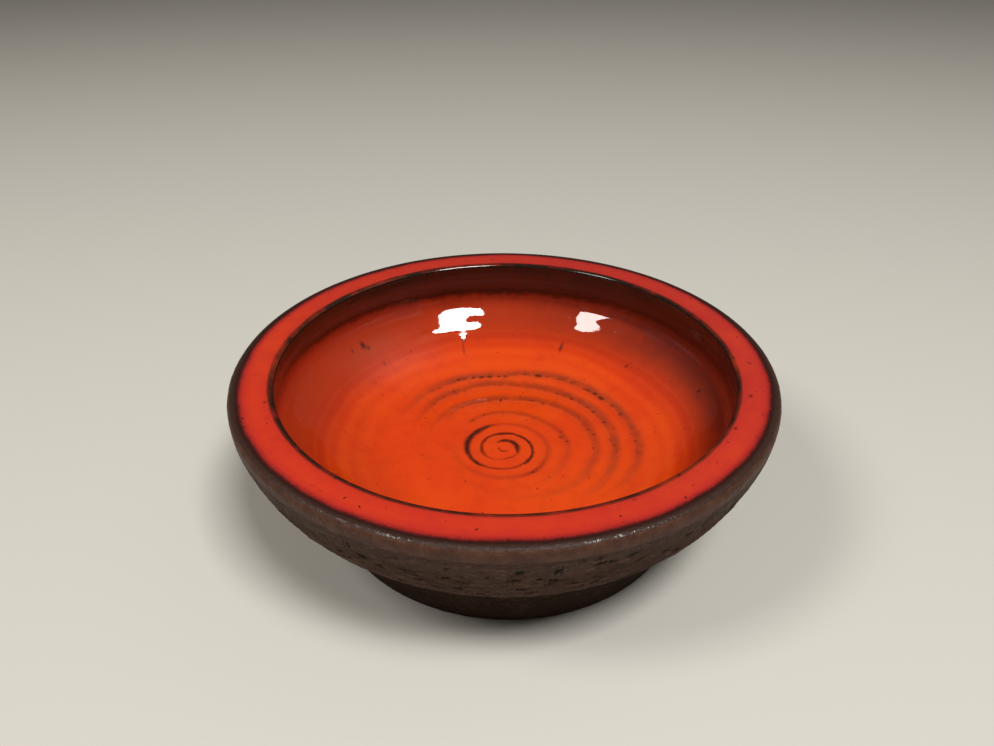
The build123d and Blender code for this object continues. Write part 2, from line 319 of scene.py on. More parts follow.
# dark pin marks where a grain broke the glaze: (angle, radius, size across, size along the radius, dark)
SPOTS = [
    (10, 23.4, 0.9, 1.0, 0.9), (25, 23.5, 0.8, 0.7, 0.8), (-63.7, 25.0, 0.6, 0.8, 0.8), (110, 22.4, 0.7, 1.4, 0.9), (92.5, 30.7, 0.8, 1.9, 1.0),
    (13.7, 34.4, 0.9, 0.9, 1.0), (33.7, 34.7, 0.7, 1.0, 0.9), (-30, 33.4, 0.7, 0.7, 0.8), (79, 33.9, 0.5, 1.5, 0.7), (22.1, 40.8, 0.8, 1.4, 1.0),
    (32.8, 41.1, 1.2, 1.1, 1.0), (28, 40.6, 0.7, 0.7, 0.8), (38, 41.2, 0.7, 0.8, 0.8), (49.2, 40.8, 1.2, 0.8, 0.9), (15.2, 42.4, 0.7, 1.0, 0.8),
    (38, 48.4, 2.8, 1.4, 1.0), (42, 48.6, 2.2, 1.2, 0.9), (46.5, 48.7, 2.4, 1.0, 0.8), (73, 48.4, 3.0, 1.4, 1.0), (68.5, 48.6, 1.6, 0.8, 0.6),
    (22.8, 48.2, 0.9, 1.5, 0.8), (89, 46.6, 1.8, 0.9, 0.8), (92.6, 46.4, 1.7, 1.0, 0.9), (97.3, 46.5, 2.4, 1.1, 0.95), (101.5, 46.8, 2.0, 1.1, 1.0),
    (105.6, 47.1, 1.7, 1.1, 0.95), (113.4, 47.5, 1.8, 1.2, 0.95), (110, 47.4, 1.1, 0.9, 0.7), (119, 41.7, 0.7, 1.3, 0.9), (-55, 16.8, 1.1, 0.9, 1.0),
    (-135, 13.0, 0.8, 0.8, 1.0), (55.6, 48.5, 1.0, 0.8, 0.7), (62.9, 48.7, 1.1, 0.7, 0.7), (148, 35.9, 0.7, 0.8, 0.7), (158, 37.0, 0.5, 0.6, 0.6),
    (2.7, 47.6, 0.7, 1.4, 0.75), (-4.2, 47.3, 0.7, 1.2, 0.65), (8, 47.4, 0.6, 1.2, 0.6), (-38, 25.4, 0.5, 0.6, 0.6), (105, 65.0, 1.5, 1.4, 1.0),
    (106, 60.8, 0.7, 3.4, 0.8), (105.8, 63.0, 0.4, 2.4, 0.4), (67.4, 63.3, 1.2, 3.6, 1.0), (141, 73.0, 1.9, 2.4, 1.0), (139.8, 71.6, 1.1, 1.6, 0.9),
    (145.5, 73.0, 0.9, 1.2, 0.8), (138, 65.0, 0.9, 1.1, 0.9), (149, 56.0, 0.7, 0.9, 0.8), (10.5, 72.5, 1.3, 1.2, 0.9), (9.2, 71.4, 0.7, 0.9, 0.6),
    (40, 64.6, 1.1, 1.5, 0.8), (43, 63.0, 0.6, 1.0, 0.5), (151.8, 46.9, 0.6, 0.6, 0.5), (-158.2, 60.2, 0.5, 0.7, 0.6), (-127.4, 64.5, 0.6, 0.6, 0.6),
    (-97.5, 61.3, 0.6, 0.8, 0.7), (-71.1, 68.4, 0.7, 0.8, 0.7), (-44.2, 57.2, 0.5, 0.6, 0.6),
]
# small dark dots strung along the broad crests
g = np.random.default_rng(5)
for ring, first, last, count in ((0, -132, 10, 8), (1, -135, 10, 12), (2, -135, 20, 17), (3, -125, 15, 20)):
    for turned in g.uniform(first, last, count):
        r = np.interp(turned, RINGS[ring][:, 0], RINGS[ring][:, 1]) + g.normal(0, 0.45)
        SPOTS.append((-turned, r, g.uniform(0.5, 2.4), g.uniform(0.5, 0.9), g.uniform(0.3, 0.8)))
for _ in range(60):
    SPOTS.append((g.uniform(-180, 180), 74 * math.sqrt(g.uniform(0.03, 1)), g.uniform(0.3, 0.5), g.uniform(0.3, 0.6), g.uniform(0.2, 0.55)))
SPOTS = np.array(SPOTS)
# the same on the rim: (angle, radius, size across, size along the radius, dark)
RIM_SPOTS = np.array([
    (-160.4, 78.9, 1.3, 1.0, 0.9), (-65.0, 78.7, 1.0, 0.8, 0.8), (-30.8, 78.5, 1.4, 1.2, 0.9), (-16.9, 80.0, 1.7, 1.1, 1.0), (0.0, 77.3, 1.2, 1.0, 0.9),
    (-23.3, 84.6, 1.0, 0.9, 0.7), (-7.5, 87.2, 1.2, 1.0, 0.8), (-52.9, 77.1, 1.5, 0.9, 0.9), (159.0, 85.4, 0.9, 0.8, 0.7), (-2.5, 81.7, 1.3, 0.9, 0.9),
    (-12.2, 83.2, 0.9, 0.7, 0.6), (4.0, 86.4, 1.4, 0.8, 0.6), (-98.0, 85.9, 0.8, 0.6, 0.6), (-84.0, 86.3, 0.9, 0.6, 0.6), (40.0, 79.6, 0.9, 0.7, 0.5),
    (118.0, 83.0, 0.9, 0.7, 0.5), (-128.0, 83.4, 0.8, 0.6, 0.6), (-44.0, 81.0, 0.8, 0.7, 0.6), (70.0, 84.0, 0.8, 0.6, 0.5),
] + [(g.uniform(-75, 50), g.uniform(78.2, 86.6), g.uniform(0.4, 0.9), g.uniform(0.35, 0.7), g.uniform(0.3, 0.6)) for _ in range(26)]
  + [(g.uniform(50, 285), g.uniform(78.2, 86.6), g.uniform(0.35, 0.7), g.uniform(0.3, 0.6), g.uniform(0.25, 0.5)) for _ in range(20)])


def along(curve, a):
    """At angles a (radians), yields (radius, height, width, dark) of each winding of a crest."""
    turned = -np.degrees(a)
    low, high = int(math.floor((curve[0, 0] - 360) / 360)), int(math.ceil((curve[-1, 0] + 360) / 360))
    for k in range(low, high + 1):
        t = turned + 360 * k
        inside = (t >= curve[0, 0]) & (t <= curve[-1, 0])
        if inside.any():
            c = [np.interp(t, curve[:, 0], curve[:, j]) for j in (1, 2, 3, 4)]
            yield c[0], np.where(inside, c[1], 0), c[2], np.where(inside, c[3], 0)


def floor_marks(a, r):
    """Height in mm, dark line 0 to 1 and thin-glaze band 0 to 1, at angles a and one radius."""
    height, dark, thin = np.zeros(len(a)), np.zeros(len(a)), np.zeros(len(a))
    if r > 60:
        return height, dark, thin
    q = np.c_[r * np.cos(a), r * np.sin(a), np.zeros(len(a))]
    ragged = field(q, 2.3, 41, 16)
    wobble = 0.18 * np.sin(5 * a + 0.3 * r) + 0.12 * np.sin(11 * a + 1.7) + 0.07 * ragged
    fine = 0.07 * ragged * smooth(r, 3, 6)
    for curve in (CENTRE, SPIRAL):
        for rc, h, w, d in along(curve, a):
            x = (r - rc - fine) / w
            height = np.maximum(height, h * np.exp(-np.sqrt(x * x + 0.04) * 1.1))
            dark = np.maximum(dark, d * np.exp(-((np.abs(x) / 1.0) ** 2.8)) * (1 - 0.10 * np.abs(ragged)))
            thin = np.maximum(thin, 0.30 * smooth(h, 0.05, 0.2) * np.exp(-((x / 1.3) ** 2)) * smooth(r, 9, 16))
    for curve in RINGS:
        for rc, h, w, d in along(curve, a):
            x = (r - rc - wobble) / w
            height = height + 0.75 * h * np.exp(-np.sqrt(x * x + 0.05) * 1.0)
            # brown where the glaze ran thin, with an orange thread left along the crest itself
            thin = np.maximum(thin, smooth(h, 0.1, 0.45) * np.exp(-((np.abs(x - 0.5) / 1.75) ** 3)) * (0.36 + 0.90 * d) * (1 - 0.75 * np.exp(-(((x + 0.75) / 0.42) ** 2))))
    return height, dark, thin


def spot_marks(a, r, spots=SPOTS):
    """Dark of the pin marks, at angles a and one radius."""
    dark = np.zeros(len(a))
    for deg, rs, across, length, d in spots[np.abs(spots[:, 1] - r) < 4]:
        if abs(r - rs) > length * 1.6:
            continue
        da = (a - math.radians(deg) + math.pi) % (2 * math.pi) - math.pi
        x = da * rs / (across * 0.5)
        y = (r - rs) / (length * 0.5)
        dark = np.maximum(dark, d * np.exp(-((x * x + y * y) ** 1.3)))
    return dark


# how far below the rim the dark thin glaze gives way to the thick orange one
EDGE_DROP = [
    (90, 13.3), (115, 12.3), (135, 11.3), (150, 10.6), (170, 9.6), (190, 9.3), (210, 9.5), (240, 10.6),
    (270, 11.0), (300, 10.8), (330, 10.5), (0, 10.0), (20, 10.5), (45, 11.8), (60, 12.6), (75, 13.1),
]


def right_thin_glaze_and_shade(plain):
    """0 to 1 towards the right-hand side: where the glaze ran thinner and darker, and where shade from the rim is
    painted into the wall and lip colour.
    """
    return around(np.arctan2(plain[:, 1], plain[:, 0]), [(-62, 0.0), (-35, 0.6), (-5, 1.0), (30, 1.0), (60, 0.55), (95, 0.2), (140, 0.0), (220, 0.0)])


def gleam(plain):
    """0 to 1: where the outer edge of the rim is glossy enough to glint."""
    table = [(-130, 0.3), (-119, 1.0), (-107, 1.0), (-101, 0.08), (-80, 0.08), (-75, 1.0), (-65, 1.0), (-58, 0.2), (0, 0.4), (90, 0.6), (180, 0.4)]
    return around(np.arctan2(plain[:, 1], plain[:, 0]), table)


def glaze_edge(a, r, z):
    """Millimetres below the uneven edge between the two glazes."""
    p = np.c_[r * np.cos(a), r * np.sin(a), np.full(len(a), z)]
    return (H - z) - around(a, EDGE_DROP) + 0.28 * field(p, 9, 31, 14) + 0.20 * field(p, 3.2, 32, 18)


# ---------------------------------------------------------------------------
# Well glaze: floor and curved wall
# ---------------------------------------------------------------------------
floor_r = np.r_[0, np.arange(0.3, 15.9, 0.3), np.arange(16.2, FLOOR_R - 0.3, 0.62)]
floor_line = np.vstack([np.c_[floor_r, np.full(len(floor_r), FLOOR_Z)], well_curve[-1:]])
length = np.r_[0, np.cumsum(np.hypot(*np.diff(well_curve[::-1], axis=0).T))]
shares = np.r_[np.arange(0, 15.0, 0.62), np.arange(15.0, 31.0, 1.3), np.arange(31.6, 46.5, 0.5), np.arange(46.9, length[-1] - 0.4, 0.8), length[-1]] / length[-1]
well_top = tight_ends(stack(floor_line, resample(well_curve[::-1], 0, shares)), first=False)


# angle, drop, half length along the wall, half height, and depth (negative stands proud)
FINGER_RIDGES = (
    (100.43, 23.93, 2.80, 1.55, -0.156),
    (114.38, 26.33, 7.52, 5.34, 0.224),
    (114.67, 25.82, 12.00, 0.80, 0.132),
    (105.82, 18.80, 7.33, 0.80, 0.195),
    (89.78, 26.63, 9.95, 6.00, -0.250),
    (105.32, 23.64, 3.40, 3.36, -0.250),
    (117.14, 25.04, 3.19, 0.80, 0.250),
    (91.73, 23.67, 5.72, 5.71, -0.241),
    (61.06, 17.38, 12.00, 0.85, 0.200),
    (53.10, 20.64, 12.00, 1.90, -0.200),
    (64.88, 16.90, 1.92, 6.00, 0.200),
    (52.21, 20.66, 8.80, 2.87, -0.200),
    (50.49, 21.70, 9.14, 6.00, -0.200),
    (62.81, 24.52, 3.34, 0.85, 0.200),
)


def well_height(a, r, z):
    p = np.c_[r * np.cos(a), r * np.sin(a), np.full(len(a), z)]
    d = H - z
    marks, dark, _ = floor_marks(a, r)
    base = marks - 0.14 * smooth(r, 2, 10) * (1 - smooth(r, 44, 56))
    calm = 1 - 0.75 * smooth(r, 50, 60)
    wave = calm * (0.050 * field(p, 30, 3, 12) + 0.013 * field(p, 10, 4, 16) + 0.0035 * field(p, 3.6, 5, 20))
    turns = 0.004 * np.sin(d * 0.95 + 0.16 * np.degrees(a) / 10 + 0.8 * np.sin(a + 1)) * smooth(r, 50, 58)
    # shallow ridges and hollows left by a finger in the far wall
    dents = 0.0
    for deg, dd, half, tall, deep in FINGER_RIDGES:
        da = (a - math.radians(deg) + math.pi) % (2 * math.pi) - math.pi
        dents = dents + deep * np.exp(-((da * r / half) ** 2) - ((d - dd) / tall) ** 2)
    deepest = 0.26 + 0.40 * smooth(d, 18.5, 23.0)
    dents = np.where(dents > deepest, deepest + 0.2 * (dents - deepest), dents)
    pits = 0.10 * spot_marks(a, r)
    edge = smooth(d, LIP_FOOT[1], LIP_FOOT[1] + 3.0)
    return (base + wave + turns - dents - pits) * edge


well_rings = turn(well_top, [ring_count(r) for r, _ in well_top], well_height)
joint = np.array([LIP_FOOT[0] + LIP_COAT + 0.05, H - LIP_FOOT[1] - 0.12])
back = resample(well_curve, 14)
back_t = np.gradient(back, axis=0)
back_t /= np.hypot(*back_t.T)[:, None]
back_d = LIP_COAT + (WELL_COAT - LIP_COAT) * np.clip(np.linspace(0, 1, len(back)) / 0.5, 0, 1)
well_back = back + np.c_[-back_t[:, 1], back_t[:, 0]] * back_d[:, None]
well_back[0], well_back[-1] = joint, (FLOOR_R, FLOOR_Z - WELL_COAT)
back_line = np.vstack([well_back, [(r, FLOOR_Z - WELL_COAT) for r in (20.0, 9.0, 3.0, 0.0)]])


def coarse(line):
    """Point counts for hidden faces: full at the start, then a quarter, and fewer towards the middle."""
    counts = [N, N // 2] + [N // 4] * (len(line) - 2)
    for i, (r, _) in enumerate(line):
        if r < 1e-6:
            counts[i] = 1
        elif r < 12:
            counts[i] = N // 8
    return counts


rings = well_rings + turn(back_line, coarse(back_line))
plain = np.vstack(rings)
well = lathe("well_glaze_coat", [warp(x) for x in rings], sharp=(len(well_rings) - 1, len(well_rings)))
marks, thins, edges = [], [], []
for (r, z), n in zip(well_top, [ring_count(r) for r, _ in well_top]):
    a = np.arange(n) * 2 * math.pi / n
    _, d, t = floor_marks(a, r)
    marks.append(np.maximum(d, spot_marks(a, r)))
    thins.append(t)
    edges.append(glaze_edge(a, r, z))
hidden_n = len(plain) - sum(len(x) for x in marks)
attribute(well, "mark", np.r_[np.concatenate(marks), np.zeros(hidden_n)])
attribute(well, "thin", np.r_[np.concatenate(thins), np.zeros(hidden_n)])
attribute(well, "edge", np.r_[np.concatenate(edges), np.full(hidden_n, 5.0)])
attribute(well, "drop", H - plain[:, 2])
attribute(well, "side", right_thin_glaze_and_shade(plain))
# the tight round under the lip is duller, except along the far wall
dull_part = around(np.arctan2(plain[:, 1], plain[:, 0]), [(36, 1.0), (50, 0.0), (111, 0.0), (120, 1.0), (200, 1.0), (300, 1.0)])
attribute(well, "dull", dull_part * (1 - smooth(H - plain[:, 2], 18.0, 20.6)))

# ---------------------------------------------------------------------------
# Lip glaze: the thin dark coat on the steep inside of the rim
# ---------------------------------------------------------------------------
lip_top = tight_ends(stack(resample(lip_curve[::-1], 26), arc((FLAT_IN, H - ARRIS_IN), ARRIS_IN, 180, IN_ANGLE, 7)))


def lip_height(a, r, z):
    p = np.c_[r * np.cos(a), r * np.sin(a), np.full(len(a), z)]
    keep = smooth(z, H - LIP_FOOT[1], H - LIP_FOOT[1] + 3) * smooth(-z, -CUT_Z, -CUT_Z + 2)
    ripple = 0.045 * math.sin(z * 1.35) + 0.02 * math.sin(z * 2.7 + 1)
    return keep * (0.05 * field(p, 22, 6, 12) + 0.016 * field(p, 7, 7, 16) + 0.006 * field(p, 2.4, 17, 20) + ripple)


lip_back = np.array([(CUT_IN + LIP_COAT + 0.1, CUT_Z), (MOUTH + LIP_COAT, H - ARRIS_IN), (76.3 + LIP_COAT, H - 7.0), tuple(joint)])
lip_rings = turn(lip_top, [N] * len(lip_top), lip_height)
rings = lip_rings + turn(lip_back, [N] * len(lip_back))
plain = np.vstack(rings)
k = len(lip_rings)
lip = lathe("lip_glaze_coat", [warp(x) for x in rings], loop=True, sharp=(0, k - 1, k, k + 3))
edges = [glaze_edge(np.arange(N) * 2 * math.pi / N, r, z) for r, z in np.vstack([lip_top, lip_back])]
attribute(lip, "edge", np.concatenate(edges))
attribute(lip, "depth", H - plain[:, 2])
attribute(lip, "side", right_thin_glaze_and_shade(plain))

# ---------------------------------------------------------------------------
# Rim glaze: the thick coat on the flat rim
# ---------------------------------------------------------------------------
rim_top = tight_ends(stack(
    arc((FLAT_IN, H - ARRIS_IN), ARRIS_IN, IN_ANGLE, 90, 7),
    resample([(FLAT_IN, H), (FLAT_OUT, H)], 22),
    arc((FLAT_OUT, H - ARRIS_OUT), ARRIS_OUT, 90, OUT_ANGLE, 8),
))


def rim_height(a, r, z):
    p = np.c_[r * np.cos(a), r * np.sin(a), np.full(len(a), z)]
    keep = smooth(r, CUT_IN, FLAT_IN + 1.2) * smooth(-r, -CUT_OUT, -FLAT_OUT + 1.5)
    pillow = -0.10 * (1 - smooth(r, FLAT_IN - 0.5, FLAT_IN + 2.5)) - 0.14 * smooth(r, FLAT_OUT - 2.8, FLAT_OUT + 0.6)
    return keep * (0.040 * field(p, 21, 8, 12) + 0.014 * field(p, 7, 9, 16) + 0.004 * field(p, 2.6, 10, 20) + pillow) - 0.10 * spot_marks(a, r, RIM_SPOTS)


rim_back = np.array([(CUT_OUT - SHOULDER_COAT - 0.1, CUT_Z), (82.5, CUT_Z), (CUT_IN + LIP_COAT + 0.1, CUT_Z)])
rim_rings = turn(rim_top, [N] * len(rim_top), rim_height)
rings = rim_rings + turn(rim_back, [N] * len(rim_back))
plain = np.vstack(rings)
k = len(rim_rings)
rim = lathe("rim_glaze_coat", [warp(x) for x in rings], loop=True, sharp=(0, k - 1))
# how far a point lies along the glazed side, from the start of the flat
reach = np.r_[0, np.cumsum(np.hypot(*np.diff(rim_top, axis=0).T))]
flat_at = np.interp(FLAT_IN, rim_top[:, 0], reach)
attribute(rim, "across", np.r_[np.repeat(reach - flat_at, N), np.zeros(3 * N)])
attribute(rim, "side", right_thin_glaze_and_shade(plain))
attribute(rim, "gleam", gleam(plain))
attribute(rim, "mark", np.concatenate([spot_marks(np.arange(N) * 2 * math.pi / N, r, RIM_SPOTS) for r, _ in rim_top] + [np.zeros(3 * N)]))
attribute(rim, "crimson", around(np.arctan2(plain[:, 1], plain[:, 0]), [(-90, 0.1), (-45, 0.45), (0, 0.75), (45, 0.7), (90, 0.7), (135, 0.3), (180, 0.0), (230, 0.0)]))

# ---------------------------------------------------------------------------
# Shoulder glaze: the thin run-over on the outside of the rim
# ---------------------------------------------------------------------------
end = np.array([wall_at(SHOULDER_DROP), H - SHOULDER_DROP])
upper_wall = wall_curve[wall_curve[:, 1] > end[1]]
shoulder_top = tight_ends(stack(
    arc((FLAT_OUT, H - ARRIS_OUT), ARRIS_OUT, OUT_ANGLE, 0, 9),
    resample(np.vstack([upper_wall, end]), 7),
))


def shoulder_height(a, r, z):
    p = np.c_[r * np.cos(a), r * np.sin(a), np.full(len(a), z)]
    keep = smooth(-z, -CUT_Z, -CUT_Z + 0.8) * smooth(z, end[1], end[1] + 0.8)
    return keep * (0.03 * field(p, 11, 11, 14) + 0.018 * field(p, 4, 12, 18) + 0.010 * field(p, 1.9, 22, 24))


shoulder_back = np.array([
    (end[0] - SHOULDER_COAT * 0.8, end[1] + 0.25),
    (R_MAX - SHOULDER_COAT, H - 3.4),
    (R_MAX - SHOULDER_COAT - 0.05, H - ARRIS_OUT),
    (CUT_OUT - SHOULDER_COAT - 0.1, CUT_Z),
])
sh_rings = turn(shoulder_top, [N] * len(shoulder_top), shoulder_height)
rings = sh_rings + turn(shoulder_back, [N] * len(shoulder_back))
plain = np.vstack(rings)
k = len(sh_rings)
shoulder = lathe("shoulder_glaze_coat", [warp(x) for x in rings], loop=True, sharp=(0, k - 1, k))
attribute(shoulder, "fall", np.clip((H - plain[:, 2]) / SHOULDER_DROP, 0, 1))
attribute(shoulder, "gleam", gleam(plain))

# ---------------------------------------------------------------------------
# Clay body: pitted outer wall, turned edge, underside and foot ring
# ---------------------------------------------------------------------------
lower_wall = np.vstack([end, wall_curve[wall_curve[:, 1] < end[1]]])
EDGE = lower_wall[-1]
ROOT = np.array([64.6, 15.5])
FOOT_R, FOOT_W, RECESS = 62.8, 8.0, 8.5


def fillet(a, corner, b, radius, count):
    """Points of the rounding of the corner between straight runs from a and to b."""
    a, corner, b = np.array(a, float), np.array(corner, float), np.array(b, float)
    u, v = (a - corner), (b - corner)
    u /= np.hypot(*u)
    v /= np.hypot(*v)
    half = math.acos(float(u @ v)) / 2
    back_off = radius / math.tan(half)
    centre = corner + (u + v) / np.hypot(*(u + v)) * radius / math.sin(half)
    p, q = corner + u * back_off - centre, corner + v * back_off - centre
    t0, t1 = math.atan2(p[1], p[0]), math.atan2(q[1], q[0])
    d = (t1 - t0 + math.pi) % (2 * math.pi) - math.pi
    t = t0 + np.linspace(0, 1, count + 1) * d
    return np.c_[centre[0] + radius * np.cos(t), centre[1] + radius * np.sin(t)]


def densify(points, step):
    out = [np.array(points[0], float)]
    for p in points[1:]:
        p = np.array(p, float)
        begin = out[-1]
        n = max(1, int(math.ceil(np.hypot(*(p - begin)) / step)))
        for i in range(1, n + 1):
            out.append(begin + (p - begin) * i / n)
    return np.array(out)


wall_rows = resample(lower_wall[lower_wall[:, 1] > EDGE[1] + 0.5], 47)
wall_rows = tight_ends(wall_rows, last=False)
turned_edge = fillet(wall_rows[-1], EDGE, ROOT, 0.8, 4)
root_curve = fillet(EDGE, ROOT, (FOOT_R, 0), 5.0, 5)
foot_out = fillet(ROOT, (FOOT_R, 0), (FOOT_R - FOOT_W, 0), 1.2, 4)
foot_in = fillet((FOOT_R, 0), (FOOT_R - FOOT_W, 0), (FOOT_R - FOOT_W - 2, RECESS), 1.2, 4)
recess = fillet((FOOT_R - FOOT_W, 0), (FOOT_R - FOOT_W - 2, RECESS), (0, RECESS), 3.0, 4)
lower = np.vstack([
    densify(np.vstack([wall_rows[-1:], turned_edge[:1]]), 1.0)[1:],
    turned_edge[1:],
    densify(np.vstack([turned_edge[-1:], root_curve[:1]]), 2.2)[1:],
    root_curve[1:],
    densify(np.vstack([root_curve[-1:], foot_out[:1]]), 2.2)[1:],
    foot_out[1:],
])
under = np.vstack([
    densify(np.vstack([foot_out[-1:], foot_in[:1]]), 2.0)[1:],
    foot_in[1:],
    densify(np.vstack([foot_in[-1:], recess[:1]]), 2.0)[1:],
    recess[1:],
    densify([recess[-1], (14.0, RECESS)], 1.7)[1:],
])
last = np.array([(r, RECESS) for r in (12.0, 10.0, 8.0, 6.0, 4.0, 2.0, 0.7, 0.0)])

# the hidden side, under the coats: the same line as the coats' backs
hidden = np.vstack([back_line[::-1], lip_back[::-1][1:], rim_back[::-1][1:], shoulder_back[::-1][1:]])
hidden_counts = [1 if r < 1e-6 else N // 8 if r < 12 else N // 4 for r, _ in hidden]
hidden_counts[-2:] = [N // 2, N]

# grains dragged through the clay by the turning tool: angle, drop, half length, half width, depth, slant
g = np.random.default_rng(77)
MARKS = []
for deg, depth_below, long, wide, deep, slant in (
    (-115, 11.6, 3.4, 1.7, 0.50, 0.1), (-117, 7.6, 1.6, 1.6, 0.36, 0.5), (-120.5, 14.4, 2.6, 1.3, 0.42, -0.5), (-112, 13.9, 2.0, 1.3, 0.36, 0.2),
    (-135, 15.9, 3.6, 1.0, 0.40, 0.2), (-139, 18.4, 3.0, 0.9, 0.34, 0.2), (-102.6, 19.4, 3.4, 1.2, 0.46, 0.0), (-98.6, 18.8, 2.6, 1.0, 0.40, -0.1),
    (-99.6, 7.9, 1.6, 1.0, 0.30, -0.3), (-88, 8.4, 2.4, 1.7, 0.46, -0.4), (-88.6, 12.4, 2.8, 1.2, 0.42, 0.0), (-81.5, 8.8, 2.2, 2.2, 0.50, -0.3),
    (-82, 13.5, 2.8, 1.2, 0.42, 0.1), (-75, 5.8, 2.0, 1.3, 0.36, -0.4), (-77.8, 5.4, 1.5, 1.0, 0.30, 0.3), (-74.6, 8.3, 3.2, 1.3, 0.46, -0.1),
    (-72.6, 8.6, 2.2, 1.2, 0.40, 0.2), (-68.8, 7.5, 2.4, 1.1, 0.38, -0.3), (-69.2, 8.9, 2.0, 1.0, 0.34, 0.3), (-84.6, 12.2, 2.4, 1.1, 0.38, -0.2),
    (-66.6, 11.8, 2.6, 1.1, 0.38, -0.1), (-78.3, 17.0, 2.4, 1.1, 0.38, 0.1), (-73, 17.0, 2.6, 1.2, 0.40, 0.0), (-74.6, 15.0, 1.8, 1.0, 0.34, 0.2),
    (-57.6, 8.7, 2.6, 1.1, 0.38, 0.1), (-74, 19.8, 2.6, 1.0, 0.38, 0.0), (-108, 7.0, 1.4, 0.9, 0.26, 0.4), (-93, 10.4, 1.6, 0.9, 0.28, -0.2),
    (-128, 20.6, 3.8, 1.0, 0.38, 0.1), (-110, 22.2, 4.6, 0.9, 0.38, 0.05), (-95, 23.0, 3.8, 0.9, 0.38, 0.0), (-86, 21.6, 3.2, 0.9, 0.38, 0.0),
    (-64, 20.0, 3.6, 1.0, 0.40, 0.0), (-58, 16.0, 3.2, 1.0, 0.38, 0.1), (-52, 12.4, 3.0, 1.0, 0.38, -0.1), (-48, 18.0, 3.2, 1.0, 0.38, 0.0),
    (-61, 13.2, 2.4, 1.2, 0.38, 0.3), (-54, 8.2, 2.2, 1.0, 0.32, -0.3), (-44, 10.4, 2.6, 1.0, 0.34, 0.1), (-150, 12.0, 2.4, 0.9, 0.30, 0.2),
):
    MARKS.append((math.radians(deg), depth_below, long * 0.5, wide * 0.5, deep, slant))
for _ in range(560):
    t = g.uniform()
    depth_below = 5.4 + 22.0 * t**0.75
    if g.uniform() < 0.28:
        half, wide, deep = g.uniform(0.7, 1.9), g.uniform(0.34, 0.62), g.uniform(0.22, 0.48)
    else:
        half, wide, deep = g.uniform(0.35, 0.9), g.uniform(0.25, 0.42), g.uniform(0.10, 0.26)
    MARKS.append((g.uniform(-math.pi, math.pi), depth_below, half, wide, deep * (0.5 + 0.6 * t), g.normal(0, 0.22)))
MARKS = np.array(MARKS)


def clay_marks(a, r, z):
    """Depth in mm of the drag marks, and 0 to 1 of the painted shade in their hollows, at angles a on one ring."""
    depth, dark = np.zeros(len(a)), np.zeros(len(a))
    below = H - z
    for am, dm, half, wide, deep, slant in MARKS[np.abs(MARKS[:, 1] - below) < 2.6]:
        da = (a - am + math.pi) % (2 * math.pi) - math.pi
        near = np.abs(da) * r < half * 1.8
        x = da[near] * r
        y = below - dm - slant * x
        ragged = 1 + 0.30 * np.sin(x * 4.1 + dm * 3) + 0.22 * np.sin(x * 9.7 + am * 7) + 0.2 * np.sin(y * 6.0 + am * 11)
        u = np.sqrt((x / half) ** 2 + (y / wide) ** 2) * ragged
        f = 1 / (1 + np.exp((u - 0.9) * 7.0))
        depth[near] = np.maximum(depth[near], deep * f)
        dark[near] = np.maximum(dark[near], min(1, deep * 2.6) * f)
    return depth, dark


def clay_height(a, r, z):
    p = np.c_[r * np.cos(a), r * np.sin(a), np.full(len(a), z)]
    below = H - z
    keep = smooth(below, SHOULDER_DROP, SHOULDER_DROP + 1.2)
    if below < SHOULDER_DROP + 1e-6:
        return np.zeros(len(a))
    if r > 78:
        on_wall = 1 - smooth(below, 27.4, 28.2)
        depth, _ = clay_marks(a, r, z)
        rough = smooth(below, 7, 20)
        lines = 0.020 * np.sin(below * 2.3 + 0.5 * np.sin(2 * a)) + 0.012 * np.sin(below * 5.3 + 1.0)
        grain = 0.045 * field(p * (1, 1, 1.7), 6.5, 13, 22) + 0.028 * field(p * (1, 1, 1.5), 2.4, 14, 28) + 0.018 * field(p, 1.2, 19, 30)
        torn = 0.10 * np.maximum(0, field(p * (1, 1, 2.0), 3.4, 18, 26) - 0.9)
        return keep * on_wall * (lines + grain * (0.45 + 0.55 * rough) - torn * rough - depth)
    grain = smooth(z, 0.5, 2.2) * (0.05 * field(p, 4.5, 15, 20) + 0.03 * field(p, 1.8, 16, 24))
    turned = 0.06 * math.sin(r * 2.1) * smooth(-r, -53, -50) + 0.05 * math.sin(z * 1.9) * smooth(r, 61, 62) * smooth(z, 1.5, 3)
    return grain + turned


outer_rings = turn(wall_rows, [N, N] + [2 * N] * (len(wall_rows) - 2), clay_height)
lower_rings = turn(lower, [N] * len(lower), clay_height)
under_rings = turn(under, [N // 2] * len(under), clay_height)
last_rings = turn(last, [1 if r < 1e-6 else N // 4 if r > 5 else N // 8 for r, _ in last], clay_height)
hidden_rings = turn(hidden, hidden_counts)
rings = hidden_rings + outer_rings + lower_rings + under_rings + last_rings
plain = np.vstack(rings)
k = len(hidden_rings)
clay = lathe("stoneware_bowl_body", [warp(x) for x in rings], sharp=(k - 1, k))
# painted shade in the hollows of the drag marks, stored as the clay's mark
painted_pit_shade = [np.zeros(len(x)) for x in rings]
for i, (r, z) in enumerate(wall_rows):
    n = len(outer_rings[i])
    painted_pit_shade[k + i] = clay_marks(np.arange(n) * 2 * math.pi / n, r, z)[1]
attribute(clay, "mark", np.concatenate(painted_pit_shade))
attribute(clay, "below", H - plain[:, 2])


# ---------------------------------------------------------------------------
# Materials
# ---------------------------------------------------------------------------
def srgb(r, g_, b):
    def lin(c):
        c = c / 255
        return c / 12.92 if c <= 0.04045 else ((c + 0.055) / 1.055) ** 2.4

    return (lin(r), lin(g_), lin(b), 1.0)


